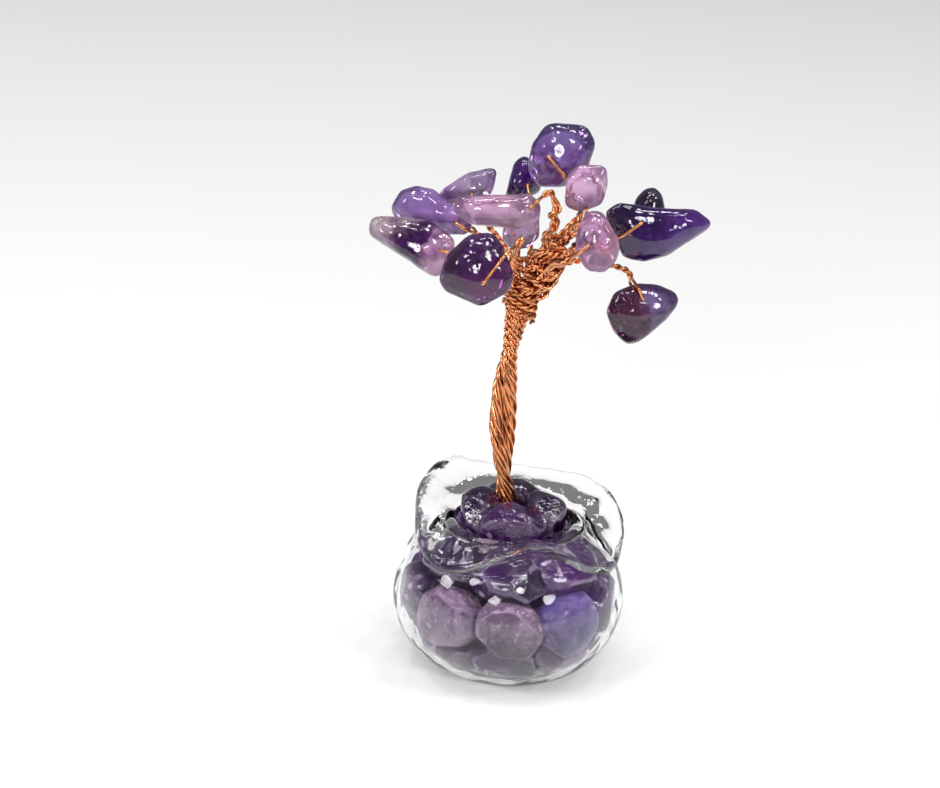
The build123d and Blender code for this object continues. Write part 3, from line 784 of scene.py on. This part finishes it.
def crown_binding(finish):
    """Twisted pairs round the trunk's top, in a tangle along the right bough, and up left_bar's branch."""
    low, high = (Vector(corner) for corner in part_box("crown_binding"))
    coil = []
    for index in range(COIL_TURNS * COIL_STEPS + 1):
        share = index / (COIL_TURNS * COIL_STEPS)
        z = low.z + WIRE_R + (high.z - low.z - 2 * WIRE_R) * share
        out = ring(2 * math.pi * COIL_TURNS * share, TRUNK_R + WIRE_R * 1.2)
        coil.append(trunk_middle(z) + out - Vector((0, 0, out.x * COIL_SLOPE)))
    crown = trunk_middle(CROWN_Z)
    tip = rope_middle(RIGHT, CROWN_Z) + BOUGH * 0.92
    windings = [coil + wind(crown, tip, 2.5, 1.9 * MM, 0.3)]
    for strand in range(BOUGH_STRANDS):
        phase = 2 * math.pi * strand / BOUGH_STRANDS
        laps = 0.75 if strand % 2 else 1.1
        start = crown + BOUGH * (0.05 * (strand % 3)) - Vector((0, 0, 1.2 * MM))
        end = tip - BOUGH * (0.07 * (strand % 4))
        widest = (1.5 + 0.25 * (strand % 3)) * MM
        windings.append(wind(start, end, laps, widest, phase, BOUGH_STEPS))
    windings.append(wind(crown + BOUGH * 0.1, crown + BOUGH * 0.45, -2.2, 2.1 * MM, 2.0))
    bends = [Vector((0, 0, CROWN_Z)) + Vector(bend) * MM for bend in BRANCHES["left_bar"][3]]
    climb, phase = [], 0.0
    for first, second in zip(bends, bends[1:]):
        climb += wind(first, second, CLIMB_TURNS, 0.45 * MM, phase)
        phase += 2 * math.pi * CLIMB_TURNS
    windings.append(climb)
    lines = []
    for winding in windings:
        lines += twisted_pair(smooth_line(winding), Vector((0, 0, 1)))
    piece = round_wire("crown_binding_wire", lines, WIRE_R)
    set_piece(piece, ROOT, "copper_wire", finish, "crown_binding")


# Glass pot

def arc(middle, radius, start, end, steps):
    """Points of an arc in the pot's section, from one angle to another, in degrees."""
    points = []
    for step in range(steps + 1):
        angle = math.radians(start + (end - start) * step / steps)
        points.append((middle[0] + radius * math.cos(angle), middle[1] + radius * math.sin(angle)))
    return points


def sway(start, leave, end, arrive, steps):
    """Points of a smooth curve between two points that keeps the direction given at each."""
    start, end = Vector(start), Vector(end)
    pull = (end - start).length / 3
    first = start + Vector(leave).normalized() * pull
    second = end - Vector(arrive).normalized() * pull
    points = []
    for step in range(steps + 1):
        t = step / steps
        s = 1 - t
        spot = start * s ** 3 + first * (3 * s * s * t) + second * (3 * s * t * t) + end * t ** 3
        points.append(tuple(spot))
    return points


def lip_edge(angle):
    """Middle of the lip's rounded edge at one angle round the pot, half its thickness, and how it tends."""
    turn, *shape = LIP_WAVES[0]
    waves = LIP_WAVES + ((turn + 360, *shape),)
    angle = (angle - turn) % 360 + turn
    first, second = next(pair for pair in zip(waves, waves[1:]) if pair[0][0] <= angle <= pair[1][0])
    eased = (1 - math.cos(math.pi * (angle - first[0]) / (second[0] - first[0]))) / 2
    reach, rise, thick = (before + (after - before) * eased for before, after in zip(first[1:], second[1:]))
    flutter = 0.06 * math.sin(math.radians(9 * angle)) + 0.04 * math.sin(math.radians(17 * angle))
    reach += flutter - thick / 2
    return THROAT_R + reach * MM, NECK_Z + (rise + flutter) * MM, thick / 2 * MM, rise / 2.4


def pot_section(angle):
    """The glass at one angle: from the foot, out round the lip, and in to the middle of the floor."""
    neck = THROAT_R + GLASS_WALL - BLOWN_WALL
    low, high = (POT_R - LOW_R, BOWL_MID_Z), (POT_R - HIGH_R, BOWL_MID_Z)
    foot_turn = -math.degrees(math.asin(BOWL_MID_Z / LOW_R))
    neck_turn = math.degrees(math.asin((NECK_Z - BOWL_MID_Z) / HIGH_R)) - NECK_EASE
    throat_turn = math.degrees(math.acos((neck - high[0]) / (HIGH_R - BLOWN_WALL)))
    floor_turn = -math.degrees(math.asin((BOWL_MID_Z - GLASS_FLOOR) / (LOW_R - BLOWN_WALL)))
    reach, height, half, wave = lip_edge(angle)
    lean = wave * (0.9 if wave < 0 else 0.3)
    outside = [(FOOT_R * 0.5, 0.0), (FOOT_R * 0.92, 0.0)]
    outside += arc(low, LOW_R, foot_turn, 0, ARC_STEPS) + arc(high, HIGH_R, 0, neck_turn, ARC_STEPS)[1:]
    under = sway(outside[-1], (0.4, 1.0), (reach, height - half), (1.0, lean), LIP_STEPS)[1:-1]
    edge = arc((reach, height), half, -90, 90, LIP_STEPS)
    throat = (neck, NECK_Z - 0.3 * MM)
    over = sway(edge[-1], (-1.0, -lean), throat, (-0.15, -1.0), LIP_STEPS)[1:]
    inside = arc(high, HIGH_R - BLOWN_WALL, throat_turn - THROAT_EASE, 0, ARC_STEPS)
    inside += arc(low, LOW_R - BLOWN_WALL, 0, floor_turn, ARC_STEPS)[1:]
    inside += [(FOOT_R * 0.8, GLASS_FLOOR), (FOOT_R * 0.4, GLASS_FLOOR)]
    return outside + under + edge + over + inside


def glass_pot(finish):
    """Sections round the pot's axis, skinned into one closed wall, as blown glass is."""
    turns = [360 * step / SPIN_STEPS for step in range(SPIN_STEPS)]
    sections = [pot_section(angle) for angle in turns]
    rows = len(sections[0])
    spots = []
    for angle, section in zip(turns, sections):
        around = math.radians(angle)
        spots += [(radius * math.cos(around), radius * math.sin(around), z) for radius, z in section]
    faces = []
    for column in range(SPIN_STEPS):
        here, beyond = column * rows, (column + 1) % SPIN_STEPS * rows
        faces += [(here + row, beyond + row, beyond + row + 1, here + row + 1) for row in range(rows - 1)]
    faces.append([column * rows for column in reversed(range(SPIN_STEPS))])
    faces.append([column * rows + rows - 1 for column in range(SPIN_STEPS)])
    mesh = bpy.data.meshes.new("blown_glass_pot")
    mesh.from_pydata(spots, [], faces)
    piece = piece_of("blown_glass_pot", mesh)
    edit(piece)
    bpy.ops.mesh.normals_make_consistent(inside=False)
    leave_edit()
    modify(piece, "DISPLACE", texture=clouds("blown_unevenness", UNEVEN_SIZE), strength=UNEVEN, mid_level=0.5,
           texture_coords="LOCAL")
    for vertex in piece.data.vertices:
        vertex.co.z = max(vertex.co.z, 0.0)
    only(piece)
    bpy.ops.object.shade_smooth()
    set_piece(piece, ROOT, "clear_glass", finish, "glass_pot")
    piece.visible_shadow = False        # clear glass lets the lamps light the chips


# Studio

def add_camera():
    ahead = Vector((0, math.cos(PITCH), -math.sin(PITCH)))
    level, rise = Vector((1, 0, 0)), Vector((0, math.sin(PITCH), math.cos(PITCH)))
    right = level * math.cos(ROLL) + rise * math.sin(ROLL)
    up = rise * math.cos(ROLL) - level * math.sin(ROLL)
    aside = (FOOT_PX[0] - IMAGE_W / 2) / FOCAL_PX
    above = (IMAGE_H / 2 - FOOT_PX[1]) / FOCAL_PX
    camera = bpy.data.cameras.new("photo_camera")
    camera.sensor_fit = "HORIZONTAL"
    camera.sensor_width = SENSOR_MM
    camera.lens = FOCAL_PX / IMAGE_W * SENSOR_MM
    camera.clip_start = 10 * MM
    holder = piece_of("photo_camera", camera)
    place = -(ahead + right * aside + up * above) * FOOT_DISTANCE
    turn = Matrix((right, up, -ahead)).transposed().to_4x4()
    holder.matrix_world = Matrix.Translation(place) @ turn
    bpy.context.scene.camera = holder


def add_light(name, place, size, power, target=(0.0, 0.0, 35 * MM)):
    """A round lamp that faces the tree, or another target."""
    light = bpy.data.lights.new(name, "AREA")
    light.shape = "DISK"
    light.size = size
    light.energy = power
    holder = piece_of(name, light)
    place = Vector(place)
    aim = Vector(target) - place
    holder.matrix_world = Matrix.Translation(place) @ aim.to_track_quat("-Z", "Y").to_matrix().to_4x4()


def add_floor():
    bpy.ops.object.select_all(action="DESELECT")
    bpy.ops.mesh.primitive_plane_add(size=3.0, location=(0, 0, 0))
    floor = bpy.context.view_layer.objects.active
    floor.name = "floor"
    floor.data.materials.append(floor_finish())


# Small lamps low in front, for the sharp lights on polished stone and glass
LOW_LAMPS, LOW_SIZE, LOW_POWER = 6, 0.075, 0.27
LOW_REACH, LOW_START, LOW_SWEEP = 0.32, -165, 150       # in metres, and in degrees round the tree
LOW_Z, LOW_STEP_UP = 0.18, 0.16
# Rows of lamps above, aimed straight down
HIGH_ROWS, HIGH_COLUMNS, HIGH_SIZE, HIGH_POWER, HIGH_Z = 2, 4, 0.085, 0.38, 0.60
SKY_STRENGTH = 0.22


def add_studio():
    world = bpy.data.worlds.new("soft_daylight")
    world.use_nodes = True
    sky = world.node_tree.nodes["Background"]
    sky.inputs["Color"].default_value = (1.0, 1.0, 1.0, 1.0)
    sky.inputs["Strength"].default_value = SKY_STRENGTH
    bpy.context.scene.world = world
    for index in range(LOW_LAMPS):
        turn = math.radians(LOW_START + LOW_SWEEP * index / (LOW_LAMPS - 1))
        place = ring(turn, LOW_REACH) + Vector((0, 0, LOW_Z + LOW_STEP_UP * (index % 2)))
        add_light(f"low_lamp_{index + 1}", place, LOW_SIZE, LOW_POWER)
    for row in range(HIGH_ROWS):
        for column in range(HIGH_COLUMNS):
            place = Vector((-0.33 + 0.20 * column + 0.06 * row, -0.02 + 0.26 * row, HIGH_Z))
            below = (place.x, place.y, 0.0)
            add_light(f"high_lamp_{row + 1}_{column + 1}", place, HIGH_SIZE, HIGH_POWER, below)
    bpy.context.scene.view_settings.view_transform = "Standard"


add_camera()
add_studio()
add_floor()
copper = copper_finish()
drilled_stones()
pot_chips()
for branch in BRANCHES:
    stone_wire(branch, copper)
crown_binding(copper)
glass_pot(glass_finish())
NODES["glue_puddle"].data.materials.clear()
NODES["glue_puddle"].data.materials.append(glue_finish())
